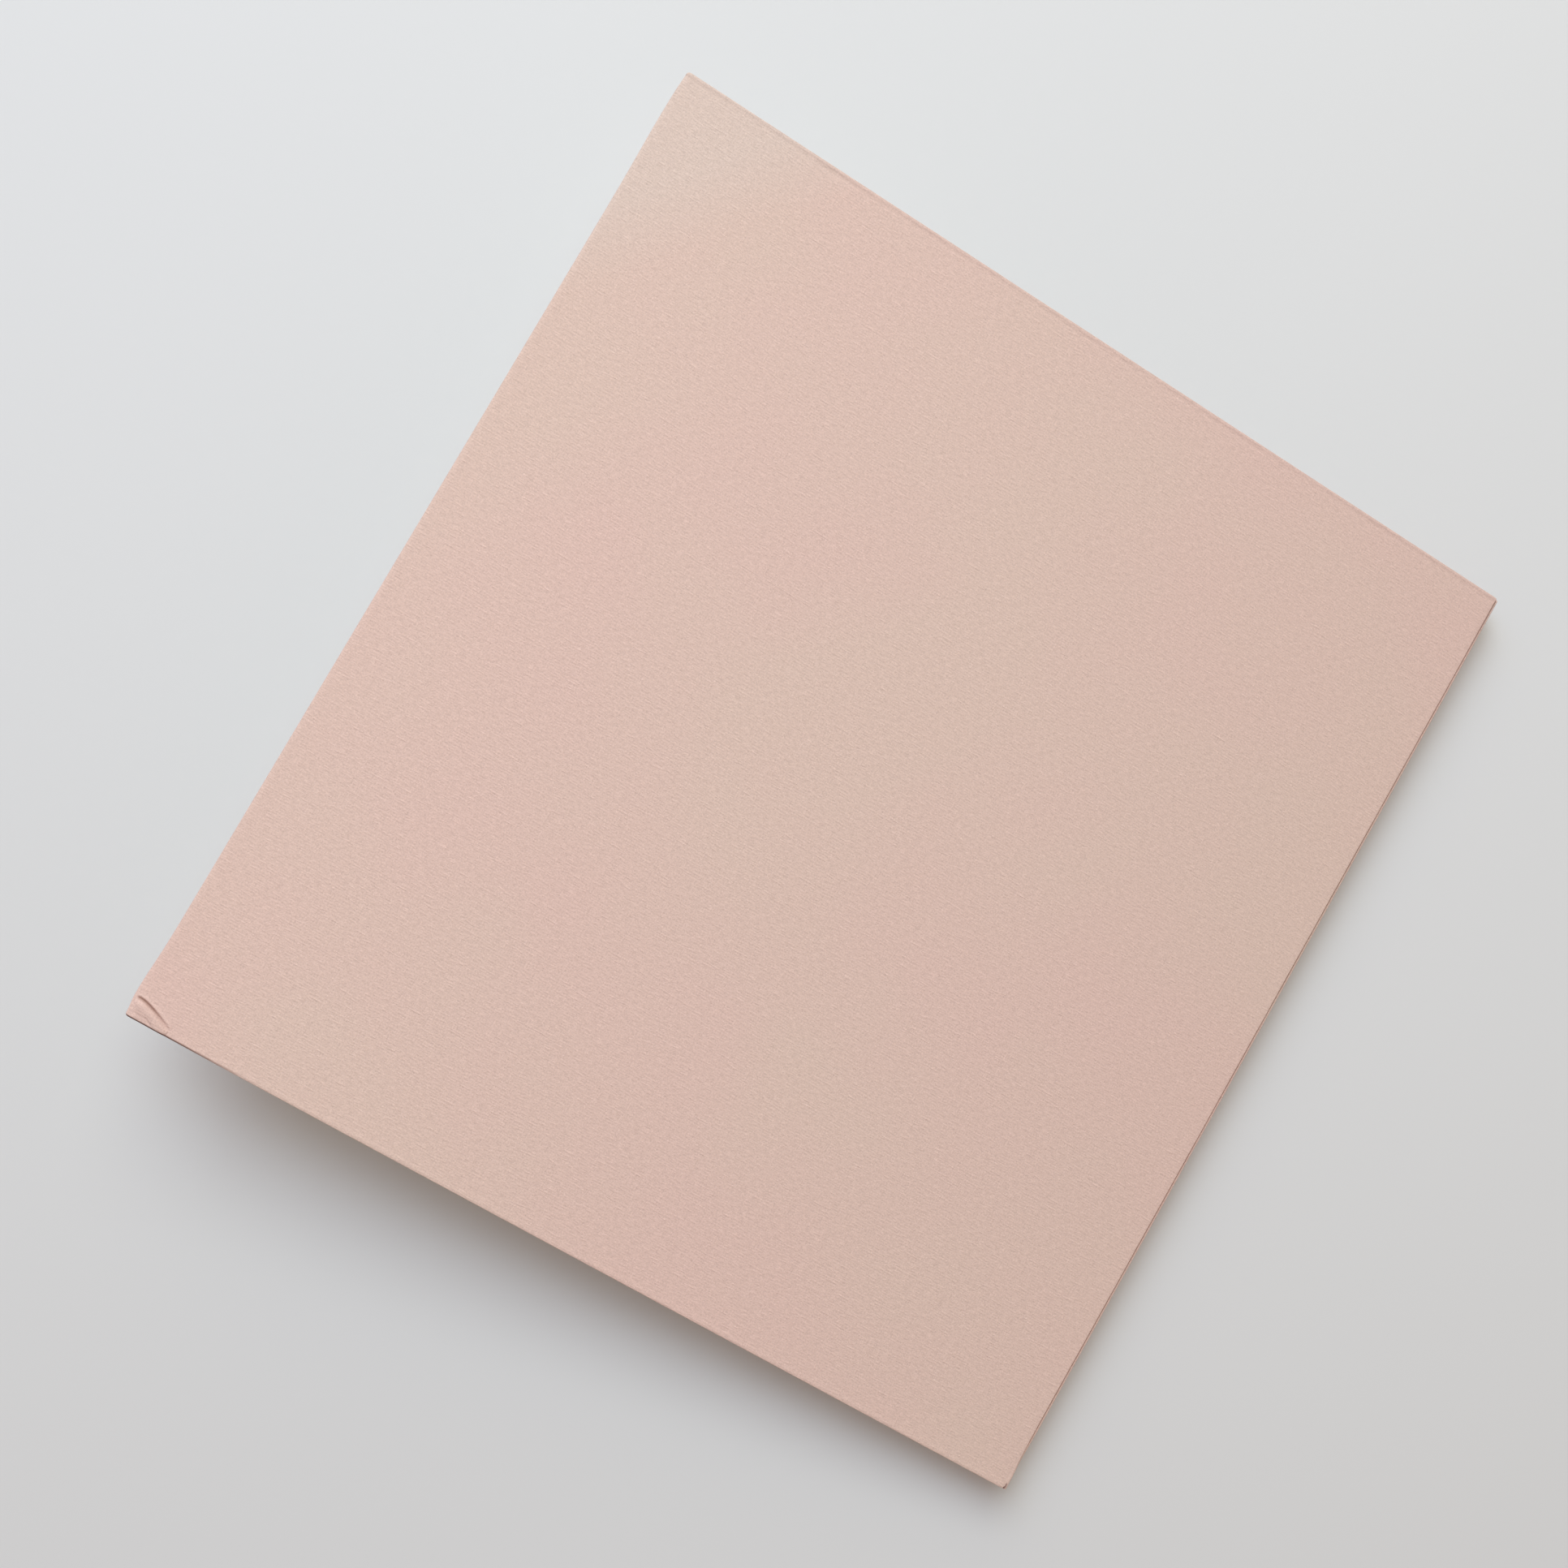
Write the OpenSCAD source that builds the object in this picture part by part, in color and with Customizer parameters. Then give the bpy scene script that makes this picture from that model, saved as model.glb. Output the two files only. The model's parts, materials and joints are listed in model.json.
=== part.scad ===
// Case-bound wedding guest book in plain book cloth, standing slightly ajar.
// Millimetres. The book lies on its back cover: spine at -X, fore edge at +X,
// head at +Y, tail at -Y, +Z up. Origin: middle of the footprint, on the table.
// Everything is drawn shut, then each moving part is turned to where it rests.

/* [Cover] */
// Width of a cover panel, from its spine edge to its fore edge
cover_w = 232.8; // [120:0.1:320]
// Height of the covers, from tail to head
cover_h = 247.7; // [120:0.1:330]
// Thickness of the greyboard inside each cover
board_t = 2.1; // [1.5:0.1:3.5]
// Thickness of the book cloth
cloth_t = 0.3; // [0.2:0.05:0.5]
// How far the cloth is turned in over the inside of the covers
turn_in = 15; // [8:0.5:25]
// Angle at which the front cover stands open at rest, in degrees
ajar = 7; // [0:0.5:15]

/* [Pages] */
// How far the covers stand past the pages at the head, the tail and the fore edge
square = 3.1; // [2:0.1:5]
// Thickness of one leaf
paper_t = 0.13; // [0.1:0.01:0.25]
// Gap between neighbouring leaves of a section
leaf_gap = 0.02; // [0.01:0.01:0.05]
// Gap in the middle of a section, where its sewing thread lies
centre_gap = 0.26; // [0.24:0.01:0.5]
// Gap between two sections that move apart
section_gap = 0.06; // [0.05:0.01:0.2]

/* [Spine] */
// Thickness of the card that stiffens the spine
card_t = 0.4; // [0.3:0.05:1]
// Gap between the spine and the sewn block
hollow = 0.45; // [0.4:0.05:1.5]
// Distance between the leaves' turning line and their folds
fold_reach = 0.5; // [0.48:0.01:0.8]
// Radius of the woven bead at the head and the tail of the block
bead_r = 0.6; // [0.5:0.05:1]

/* [Hidden] */
sheets = 4;             // folded sheets in one section
pitch = paper_t + leaf_gap;
section_t = 2 * (sheets * paper_t + (sheets - 1) * leaf_gap) + centre_gap;
paste_gap = 0.1;        // between a flyleaf and the endpaper pasted to the cover
mid_gap = 0.05;         // from the middle of the block to its nearest section
stack_t = mid_gap + 2 * section_t + section_gap;         // half the sections
half_block = stack_t + section_gap + paper_t;            // with the flyleaf
cover_t = board_t + 2 * cloth_t;
book_t = 2 * (half_block + paste_gap + paper_t + cover_t);
axis_z = book_t / 2;

back_z = cover_t / 2;                // hinge line of the back cover
spine_len = book_t - cover_t;        // from one hinge line to the other
spine_out = cloth_t + card_t;        // spine's outer face, from the hinge line
spine_in = cloth_t;                  // spine's inner face, from the hinge line
spine_end = 0.5;                     // from each hinge line to the spine's end
joint_gap = 0.5;                     // from each hinge line to the cover panel
lean = ajar / 2;                     // the spine turns half as far as the cover

// The leaning spine reaches past its hinge line, so the footprint is centred with it.
reach = spine_out * cos(lean) + (spine_len - spine_end) * sin(lean);
hinge_x = reach - (reach + joint_gap + cover_w) / 2;
axis_u = spine_in + hollow;          // leaves' turning line, from the hinge line
fore_u = joint_gap + cover_w - square - axis_u;
page_h = cover_h - 2 * square;
fold_r = section_t / 2;              // outer radius of a section's back fold
fold_u = fold_reach + fold_r;        // centre of the folds

// Turning of the front leaves for each degree of the cover's own hinge
flyleaf_ratio = 1.99;
section_1_ratio = 1.98;
section_2_ratio = 1.97;

lining_u = [0.05, 0.17];             // cloth lining glued over the folds
tape_u = [0.18, 0.26];               // the bead's tape, between lining and folds
tape_h = 10;
lining_margin = 5;
thread_r = 0.1;
leg_r = 0.085;                       // the thread is drawn thinner through a hole
thread_out_u = fold_reach - 0.12;
hole_r = 0.2;
holes = 6;                           // sewing holes along each fold
hole_margin = 16;

board_w = cover_w - cloth_t;
board_h = cover_h - 2 * cloth_t;
window_w = board_w - turn_in;        // bare board between the turn-ins
window_h = board_h - 2 * turn_in;
paste_margin = 3;                    // cloth that shows around the pasted endpaper

round_fn = 48;
eps = 0.01;
far = 400;

cloth_colour = [0.87, 0.77, 0.72];
board_colour = [0.62, 0.60, 0.56];
paper_colour = [0.95, 0.93, 0.88];
end_colour = [0.96, 0.95, 0.92];
lining_colour = [0.90, 0.88, 0.82];
bead_colour = [0.93, 0.84, 0.80];
thread_colour = [0.93, 0.91, 0.85];

// Height of a section's middle above the turning line, numbered from the front
function section_h(n) =
    let (step = section_t + section_gap, first = mid_gap + section_t / 2)
    n == 1 ? first + step : n == 2 ? first : n == 3 ? -first : -first - step;

// Place of the k-th sewing hole along the fold
function hole_y(k) = (page_h - 2 * hole_margin) * (k / (holes - 1) - 0.5);

// ---- where each body rests ----

module on_back() {
    translate([hinge_x, 0, back_z]) mirror([0, 0, 1]) children();
}

module on_spine() {
    translate([hinge_x, 0, back_z]) rotate([0, -lean, 0]) children();
}

module on_front() {
    on_spine() translate([0, 0, spine_len]) rotate([0, -lean, 0]) children();
}

// ratio is how far the leaves turn for each degree of the cover's own hinge
module on_leaves(ratio) {
    translate([hinge_x + axis_u, 0, axis_z]) rotate([0, -ratio * lean, 0]) children();
}

// ---- shapes, drawn around the hinge line or the leaves' turning line ----

// A box given by its lowest and highest corners
module block(low, high) {
    translate(low) cube(high - low);
}

module board() {
    color(board_colour)
        block([joint_gap, -board_h / 2, -board_t / 2],
              [joint_gap + board_w, board_h / 2, board_t / 2]);
}

// Cloth over one cover: outer face, three wrapped edges and their turn-ins
module cover_cloth() {
    color(cloth_colour) difference() {
        block([joint_gap, -cover_h / 2, -cover_t / 2],
              [joint_gap + cover_w, cover_h / 2, cover_t / 2]);
        block([joint_gap - 1, -board_h / 2, -board_t / 2],
              [joint_gap + board_w, board_h / 2, board_t / 2]);
        block([joint_gap - 1, -window_h / 2, -cover_t / 2 - 1],
              [joint_gap + window_w, window_h / 2, -board_t / 2 + eps]);
    }
}

// Endpaper pasted inside a cover: it lies over the turn-ins and dips to the board
module pastedown() {
    face = -cover_t / 2;
    paste_h = cover_h / 2 - paste_margin;
    color(end_colour) difference() {
        union() {
            block([joint_gap, -paste_h, face - paper_t],
                  [joint_gap + cover_w - paste_margin, paste_h, face]);
            block([joint_gap, -window_h / 2, face - paper_t],
                  [joint_gap + window_w, window_h / 2, -board_t / 2]);
        }
        block([joint_gap - 1, paper_t - window_h / 2, face - paper_t - 1],
              [joint_gap + window_w - paper_t, window_h / 2 - paper_t, -board_t / 2 - paper_t]);
    }
}

module card() {
    color(board_colour)
        block([-card_t, -board_h / 2, spine_end],
              [0, board_h / 2, spine_len - spine_end]);
}

// Cloth over the spine card, turned in over its head and tail
module spine_wrap() {
    color(cloth_colour) difference() {
        block([-spine_out, -cover_h / 2, spine_end],
              [spine_in, cover_h / 2, spine_len - spine_end]);
        block([-card_t, -board_h / 2, spine_end - 1],
              [0, board_h / 2, spine_len]);
        block([-eps, -window_h / 2, spine_end - 1],
              [spine_in + 1, window_h / 2, spine_len]);
    }
}

// Free endpaper, at the outside of the leaves it turns with
module flyleaf() {
    color(end_colour)
        block([fold_reach, -page_h / 2, half_block - paper_t],
              [fore_u, page_h / 2, half_block]);
}

// Outline of a folded sheet: two leaves joined by a round fold
module sheet_outline(inner) {
    outer = inner + paper_t;
    for (low = [inner, -outer])
        translate([fold_u - eps, low]) square([fore_u - fold_u + eps, paper_t]);
    translate([fold_u, 0]) difference() {
        circle(outer, $fn = round_fn);
        circle(inner, $fn = round_fn);
        translate([0, -far / 2]) square(far);
    }
}

// The k-th sheet of a section, counted from its middle, with its sewing holes
module folded_sheet(n, k) {
    color(paper_colour) translate([0, 0, section_h(n)]) difference() {
        translate([0, page_h / 2, 0]) rotate([90, 0, 0]) linear_extrude(page_h)
            sheet_outline(centre_gap / 2 + (k - 1) * pitch);
        for (i = [0 : holes - 1])
            translate([fold_reach - 1, hole_y(i), 0]) rotate([0, 90, 0])
                cylinder(h = 1 + fold_r, r = hole_r, $fn = round_fn);
    }
}

// Thread along the y direction between two holes
module stitch(u, i) {
    translate([u, hole_y(i) - thread_r, 0]) rotate([-90, 0, 0])
        cylinder(h = hole_y(i + 1) - hole_y(i) + 2 * thread_r, r = thread_r, $fn = 24);
}

// Sewing thread of a section: in and out of the holes along the fold
module thread(n) {
    color(thread_colour) translate([0, 0, section_h(n)]) {
        for (i = [0 : holes - 2])
            stitch(i % 2 == 0 ? fold_u : thread_out_u, i);
        for (i = [0 : holes - 1])
            translate([thread_out_u, hole_y(i), 0]) rotate([0, 90, 0])
                cylinder(h = fold_u - thread_out_u, r = leg_r, $fn = 24);
    }
}

// Cloth lining over the folds of half the block; side is 1 at the front, -1 at the rear
module spine_lining(side) {
    low = side > 0 ? mid_gap : -stack_t;
    color(lining_colour)
        block([lining_u[0], lining_margin - page_h / 2, low],
              [lining_u[1], page_h / 2 - lining_margin, low + stack_t - mid_gap]);
}

// Woven bead on its tape, half of it; way is 1 at the head, -1 at the tail
module bead(side, way) {
    low = side > 0 ? mid_gap : -stack_t;
    high = low + stack_t - mid_gap;
    edge = page_h / 2;
    color(bead_colour) scale([1, way, 1]) {
        translate([tape_u[0] + bead_r, edge + bead_r + leaf_gap, low])
            cylinder(h = high - low, r = bead_r, $fn = round_fn);
        block([tape_u[0], edge - tape_h, low], [tape_u[1], edge + bead_r, high]);
    }
}

// ---- the book, body by body ----

on_back() board();  // back_board
on_back() cover_cloth();  // back_cover_cloth
on_back() pastedown();  // rear_pastedown
on_leaves(0) mirror([0, 0, 1]) flyleaf();  // rear_flyleaf
for (n = [3, 4]) {
    for (k = [1 : sheets])
        on_leaves(0) folded_sheet(n, k);
    on_leaves(0) thread(n);
}
on_leaves(0) spine_lining(-1);  // rear_spine_lining
on_leaves(0) bead(-1, 1);  // rear_headband
on_leaves(0) bead(-1, -1);  // rear_tailband

on_spine() card();  // spine_card
on_spine() spine_wrap();  // spine_cloth

on_front() board();  // front_board
on_front() cover_cloth();  // front_cover_cloth
on_front() pastedown();  // front_pastedown

on_leaves(flyleaf_ratio) flyleaf();  // front_flyleaf

for (n = [1, 2]) {
    ratio = n == 1 ? section_1_ratio : section_2_ratio;
    for (k = [1 : sheets])
        on_leaves(ratio) folded_sheet(n, k);
    on_leaves(ratio) thread(n);
}
on_leaves(section_2_ratio) spine_lining(1);  // front_spine_lining
on_leaves(section_2_ratio) bead(1, 1);  // front_headband
on_leaves(section_2_ratio) bead(1, -1);  // front_tailband
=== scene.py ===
"""Looks of a case-bound guest book in blush book cloth: cloth panels and joints, sheets, thread and bands.

Lengths are in metres. A cover is built flat around its hinge line (x across, y up the spine, z outward)
and then placed where its body rests. Leaves are built shut around their turning line and bent to rest.
"""
import json
import math

import bpy
import bmesh
import numpy as np
from mathutils import Matrix, Vector, noise


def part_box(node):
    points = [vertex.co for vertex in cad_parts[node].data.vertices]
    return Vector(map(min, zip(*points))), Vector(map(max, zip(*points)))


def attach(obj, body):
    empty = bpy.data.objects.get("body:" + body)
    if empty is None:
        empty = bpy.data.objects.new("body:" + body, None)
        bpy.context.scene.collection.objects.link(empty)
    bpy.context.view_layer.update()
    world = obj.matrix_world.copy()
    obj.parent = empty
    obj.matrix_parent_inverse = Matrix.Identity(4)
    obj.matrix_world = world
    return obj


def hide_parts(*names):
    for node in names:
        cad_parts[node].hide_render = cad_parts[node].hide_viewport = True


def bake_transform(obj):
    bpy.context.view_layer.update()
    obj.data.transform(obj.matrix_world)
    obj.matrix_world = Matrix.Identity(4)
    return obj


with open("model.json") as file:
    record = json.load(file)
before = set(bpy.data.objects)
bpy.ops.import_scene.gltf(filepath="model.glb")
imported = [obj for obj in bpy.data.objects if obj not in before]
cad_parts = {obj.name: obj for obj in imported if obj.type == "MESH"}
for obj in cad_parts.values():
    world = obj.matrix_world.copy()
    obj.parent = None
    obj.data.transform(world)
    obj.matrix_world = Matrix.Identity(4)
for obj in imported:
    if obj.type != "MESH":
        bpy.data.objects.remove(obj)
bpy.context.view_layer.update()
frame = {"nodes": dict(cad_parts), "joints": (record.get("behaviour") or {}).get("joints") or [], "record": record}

MM = 0.001
UP = Vector((0, 0, 1))
JOINTS = {j["name"]: j for j in frame["joints"]}
BODY_OF = {node: body for body, nodes in frame["record"]["behaviour"]["bodies"].items() for node in nodes}


def lift_at_rest(joint):
    """How far a joint stands open at rest, in radians: its range starts where the book is shut."""
    return math.radians(-JOINTS[joint]["range_deg"][0])


# ---- dimensions, read from the frame -------------------------------------------------------------
# HY and HZ are half sizes, T is a thickness, and U is a distance from the line about which leaves turn

cloth_low, cloth_high = (Vector(c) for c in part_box("back_cover_cloth"))
board_low, board_high = (Vector(c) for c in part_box("back_board"))
leaf_low, leaf_high = (Vector(c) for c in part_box("rear_flyleaf"))
paste_high = Vector(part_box("rear_pastedown")[1])

BACK_HINGE = Vector(JOINTS["spine_hinge"]["pos_m"])
FRONT_HINGE = Vector(JOINTS["front_cover_hinge"]["pos_m"])
LEAF_AXIS = Vector(JOINTS["section_2_turn"]["pos_m"])
LEAN = lift_at_rest("spine_hinge")
AJAR = LEAN + lift_at_rest("front_cover_hinge")
SPINE_LEN = (FRONT_HINGE - BACK_HINGE).length

COVER_HZ = (cloth_high.z - cloth_low.z) / 2
COVER_HY = cloth_high.y
PANEL_X0 = cloth_low.x - BACK_HINGE.x
PANEL_X1 = cloth_high.x - BACK_HINGE.x
CLOTH_T = board_low.z - cloth_low.z
BOARD_HY = board_high.y
PAPER_T = leaf_high.z - leaf_low.z
PAGE_HY = leaf_high.y
FORE_U = leaf_high.x - LEAF_AXIS.x
FOLD_REACH = leaf_low.x - LEAF_AXIS.x
FLYLEAF_H = LEAF_AXIS.z - (leaf_high.z + leaf_low.z) / 2
PASTE_X1 = paste_high.x - BACK_HINGE.x
PASTE_HY = paste_high.y
TURN_IN = 15 * MM
WINDOW_X1 = PANEL_X1 - CLOTH_T - TURN_IN    # the turn-ins end here, and the pastedown lies on the board
WINDOW_HY = BOARD_HY - TURN_IN
SPINE_END = 0.5 * MM        # the spine's own cloth ends this far from each hinge line


def smooth(t):
    """0 below 0, 1 above 1, and an even S between them."""
    t = np.clip(t, 0, 1)
    return t * t * (3 - 2 * t)


def wave(x, y, size, seed):
    """Smooth noise from -1 to 1 at a place in metres, with features of about that size."""
    return noise.noise(Vector((x / size, y / size, seed)))


def waves(x, y, size, seed):
    """The same noise at each of many places."""
    return np.array([wave(*place, size, seed) for place in zip(x, y)])


def ridge(distance, at, width):
    """1 at a distance from an edge or line, fading to 0 over that width on both sides."""
    return np.exp(-((distance - at) / width) ** 2)


# ---- placing ------------------------------------------------------------------------------------

def lift_matrix(pivot, angle):
    """Turning by an opening angle, which lifts the fore edge, about a line along Y."""
    return Matrix.Translation(pivot) @ Matrix.Rotation(-angle, 4, "Y")


ON_BACK = Matrix.Translation(BACK_HINGE) @ Matrix.Diagonal((1, 1, -1, 1))
ON_SPINE = lift_matrix(BACK_HINGE, LEAN)
ON_FRONT = lift_matrix(FRONT_HINGE, AJAR)


def placed(points, matrix):
    """The points moved by a matrix."""
    points = np.asarray(points, float)
    m = np.array(matrix)
    return points @ m[:3, :3].T + m[:3, 3]


# ---- mesh helpers -------------------------------------------------------------------------------

WELD = 1e-7     # points closer than this, in metres, become one


def new_mesh(name, points, faces, uvs=None):
    """A mesh object from points and faces, welded, with its outside facing out."""
    mesh = bpy.data.meshes.new(name)
    mesh.from_pydata([tuple(p) for p in points], [], [tuple(f) for f in faces])
    if uvs is not None:
        layer = mesh.uv_layers.new(name="flat")
        index = np.zeros(len(mesh.loops), np.int32)
        mesh.loops.foreach_get("vertex_index", index)
        layer.data.foreach_set("uv", np.asarray(uvs, np.float32)[index].ravel())
    obj = bpy.data.objects.new(name, mesh)
    bpy.context.scene.collection.objects.link(obj)
    bm = bmesh.new()
    bm.from_mesh(mesh)
    bmesh.ops.remove_doubles(bm, verts=bm.verts, dist=WELD)
    bmesh.ops.recalc_face_normals(bm, faces=bm.faces)
    bm.to_mesh(mesh)
    bm.free()
    mesh.polygons.foreach_set("use_smooth", [True] * len(mesh.polygons))
    return obj


def apply_modifiers(obj):
    """Replaces the object's mesh by what its modifiers make of it."""
    graph = bpy.context.evaluated_depsgraph_get()
    graph.update()
    mesh = bpy.data.meshes.new_from_object(obj.evaluated_get(graph))
    obj.modifiers.clear()
    old = obj.data
    obj.data = mesh
    bpy.data.meshes.remove(old)


def thicken(obj, thickness, offset):
    """Gives a surface its thickness: offset 0 is half to each side, and -1 is all on the inside."""
    shell = obj.modifiers.new("shell", "SOLIDIFY")
    shell.thickness = thickness
    shell.offset = offset
    apply_modifiers(obj)


def grid_faces(rows, columns):
    """Four-sided faces between the points of a grid, listed row by row."""
    return [(i * columns + j, i * columns + j + 1, (i + 1) * columns + j + 1, (i + 1) * columns + j)
            for i in range(rows - 1) for j in range(columns - 1)]


def sharp_by_angle(obj, degrees):
    """Keeps edges sharper than that angle crisp, with the rest smooth."""
    bm = bmesh.new()
    bm.from_mesh(obj.data)
    limit = math.radians(degrees)
    for edge in bm.edges:
        edge.smooth = len(edge.link_faces) != 2 or edge.calc_face_angle(0) < limit
    bm.to_mesh(obj.data)
    bm.free()


def spaced(start, end, step):
    """Even steps from start up to, and not including, end."""
    count = max(1, round((end - start) / step))
    return list(np.linspace(start, end, count, endpoint=False))


# ---- node helpers -------------------------------------------------------------------------------

class Nodes:
    """A short way to write a material's node tree."""

    def __init__(self, name):
        self.material = bpy.data.materials.new(name)
        self.material.use_nodes = True
        self.tree = self.material.node_tree
        self.shader = self.tree.nodes["Principled BSDF"]

    def new(self, kind):
        return self.tree.nodes.new(kind)

    def link(self, source, target):
        self.tree.links.new(source, target)

    def math(self, operation, a, b=None, clamp=False):
        node = self.new("ShaderNodeMath")
        node.operation = operation
        node.use_clamp = clamp
        for socket, value in zip(node.inputs, (a, b)):
            if value is None:
                continue
            if isinstance(value, (int, float)):
                socket.default_value = value
            else:
                self.link(value, socket)
        return node.outputs[0]

    def plus(self, *terms):
        total = terms[0]
        for term in terms[1:]:
            total = self.math("ADD", total, term)
        return total

    def minus(self, a, b, clamp=False):
        return self.math("SUBTRACT", a, b, clamp)

    def times(self, a, *factors, clamp=False):
        for factor in factors:
            a = self.math("MULTIPLY", a, factor, clamp)
        return a

    def weighted(self, parts, weights):
        """The sum of the named parts, each times its weight."""
        return self.plus(*[self.times(parts[name], weight) for name, weight in weights.items()])

    def rising(self, value, start, end):
        """0 on the start's side, 1 on the end's side, and an even slope between them."""
        return self.math("DIVIDE", self.minus(value, start), end - start, clamp=True)

    def near(self, value, place, reach):
        """1 where the value is at that place, falling to 0 at that reach on both sides."""
        beside = self.math("ABSOLUTE", self.minus(value, place))
        return self.minus(1.0, self.math("DIVIDE", beside, reach), clamp=True)

    def coordinates(self, kind):
        return self.new("ShaderNodeTexCoord").outputs[kind]

    def split(self, vector):
        """The vector's parts along its three axes."""
        node = self.new("ShaderNodeSeparateXYZ")
        self.link(vector, node.inputs[0])
        return node.outputs

    def scaled(self, vector, scale):
        """The vector times a scale for each axis."""
        node = self.new("ShaderNodeMapping")
        node.inputs["Scale"].default_value = scale
        self.link(vector, node.inputs["Vector"])
        return node.outputs[0]

    def noise(self, vector, scale, detail=2.0, roughness=0.5):
        node = self.new("ShaderNodeTexNoise")
        node.inputs["Scale"].default_value = scale
        node.inputs["Detail"].default_value = detail
        node.inputs["Roughness"].default_value = roughness
        self.link(vector, node.inputs["Vector"])
        return node.outputs["Fac"]

    def ramp(self, factor, stops):
        """A colour ramp: stops are (place, colour)."""
        node = self.new("ShaderNodeValToRGB")
        self.link(factor, node.inputs["Fac"])
        ramp = node.color_ramp
        while len(ramp.elements) < len(stops):
            ramp.elements.new(0.5)
        for element, (place, colour) in zip(ramp.elements, stops):
            element.position = place
            element.color = (*colour, 1)
        return node.outputs["Color"]

    def mix(self, factor, a, b, blend="MIX"):
        node = self.new("ShaderNodeMix")
        node.data_type = "RGBA"
        node.blend_type = blend
        for socket, value in ((node.inputs["Factor"], factor), (node.inputs[6], a), (node.inputs[7], b)):
            if isinstance(value, (int, float)):
                socket.default_value = value
            elif isinstance(value, tuple):
                socket.default_value = (*value, 1)
            else:
                self.link(value, socket)
        return node.outputs[2]

    def bump(self, height, strength, distance):
        """Makes the surface stand up by a height, from 0 to 1, times a distance."""
        node = self.new("ShaderNodeBump")
        node.inputs["Strength"].default_value = strength
        node.inputs["Distance"].default_value = distance
        self.link(height, node.inputs["Height"])
        self.link(node.outputs["Normal"], self.shader.inputs["Normal"])

    def colour(self, value):
        self.link(value, self.shader.inputs["Base Color"])

    def finish(self, roughness, **constants):
        """Sets the shader's constants, named with _ for each space, and returns the material."""
        self.shader.inputs["Roughness"].default_value = roughness
        for key, value in constants.items():
            self.shader.inputs[key.replace("_", " ")].default_value = value
        return self.material


def linear(r, g, b):
    """An sRGB colour, 0 to 255, as linear values."""
    return tuple(c / 12.92 if c <= 0.04045 else ((c + 0.055) / 1.055) ** 2.4
                 for c in (v / 255 for v in (r, g, b)))


# Creases in the cloth at the head's fore corner, in millimetres from the fore edge and from the head
CORNER_CREASE = [(0.6, 5.0), (1.9, 5.05), (3.4, 4.75), (5.9, 3.85), (8.6, 2.6), (10.4, 1.7)]
CORNER_NICK = [(4.0, 2.0), (5.3, 1.2), (6.6, 0.5)]

THREAD_UP = 0.63 * MM           # from one thread to the next, up the spine
THREAD_ACROSS = 0.9 * THREAD_UP
CLOTH_BUMP = 0.06 * MM

# How many features a metre has across the book and up it
WOBBLE_SCALE = (300, 420, 1)
YARN_SCALE = (560, 2100, 1)
YARN_UP_SCALE = (2200, 700, 1)
SLUB_SCALE = (300, 1900, 1)
FLECK_SCALE = (420, 900, 1)
GRAIN_SCALE = 2600.0
CLOUD_SCALE = 12.0

# The same in paper, board and table, along the three axes or along all alike
FIBRE_SCALE = (900, 1400, 900)
PAPER_CLOUD_SCALE = 28.0
PULP_SCALE = 900.0
BOARD_FLECK_SCALE = (500, 1800, 2600)
TABLE_CLOUD_SCALE = 3.0
TABLE_GRAIN_SCALE = 260.0

# What each part of the weave adds to the cloth's relief, and to its shade
RELIEF = {"across": 0.12, "along": 0.08, "yarn": 1.5, "yarn_up": 0.7, "grain": 0.8, "slub": 0.75}
SHADE = {"yarn": 0.30, "yarn_up": 0.16, "grain": 0.40}
SHADE_BASE = 0.57
SLUB_SHADE = 0.05

# Long slubs on the front cover, in millimetres: start and end from the fore edge, and how far above the
# middle of the cover
LONG_SLUBS = [(64.5, 73.0, -33.0), (72.6, 88.5, -33.1), (58.0, 68.0, -56.1), (76.0, 85.0, -48.7),
              (58.0, 64.0, 12.0)]
LONG_SLUB_REACH = 0.17 * MM
LONG_SLUB_HEIGHT = 0.9

WANDER_ACROSS, WANDER_ALONG = 9.0, 11.0     # how far the threads wander, in radians of the weave
SLUBS_FROM, SLUB_GAIN = 0.66, 6.0           # noise above the first makes slubs, as steeply as the second
FLECKS_FROM, FLECK_GAIN = 0.80, 9.0         # and flecks
FLECK_STRENGTH = 0.55

CLOTH_PINK = (220, 189, 178)
CLOTH_BEIGE = (218, 191, 178)
CLOTH_PALE = (217, 195, 183)
CLOTH_FLECK = (166, 132, 118)
# Painted shade: the cloth's colour where its head edge and front joint are in shade
CLOTH_IN_SHADE = (112, 76, 70)
# Painted shade: the cloth's colour in its corner crease
CREASE_SHADE_COLOUR = (142, 100, 82)
# Painted shade: the cloth is drawn darker towards the spine and the tail, paler towards the fore edge and the head
PAINTED_SHADE_STEP = 0.045                    # how much paler the cloth gets across the book, and up it
PAINTED_SHADE_BASE = 0.945
PALE_CORNER = (39 * MM, 52 * MM)    # how far the paler corner reaches across the book, and up it
HEAD_EDGE_SHADE, JOINT_SHADE = 0.95, 0.75  # how strong the painted shade is along the head edge, and in the joint

# The shade in the corner crease: its strength, its half width, and how it comes and goes along the crease
CREASE_SHADE = 0.80
CREASE_HALF_W = 0.55 * MM
CREASE_COMES, CREASE_GOES = 0.72 * MM, 5.4 * MM
CREASE_SPAN = 12 * MM


def crease_line(n, fore, curve):
    """How far from the head a crease is, in metres, for each distance from the fore edge."""
    line = n.new("ShaderNodeFloatCurve")
    points = line.mapping.curves[0].points
    places = [(across * MM / CREASE_SPAN, down * MM / CREASE_SPAN) for across, down in curve]
    points[0].location, points[1].location = places[0], places[-1]
    for place in places[1:-1]:
        points.new(*place)
    line.mapping.update()
    n.link(n.math("DIVIDE", fore, CREASE_SPAN), line.inputs["Value"])
    return n.times(line.outputs[0], CREASE_SPAN)


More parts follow.
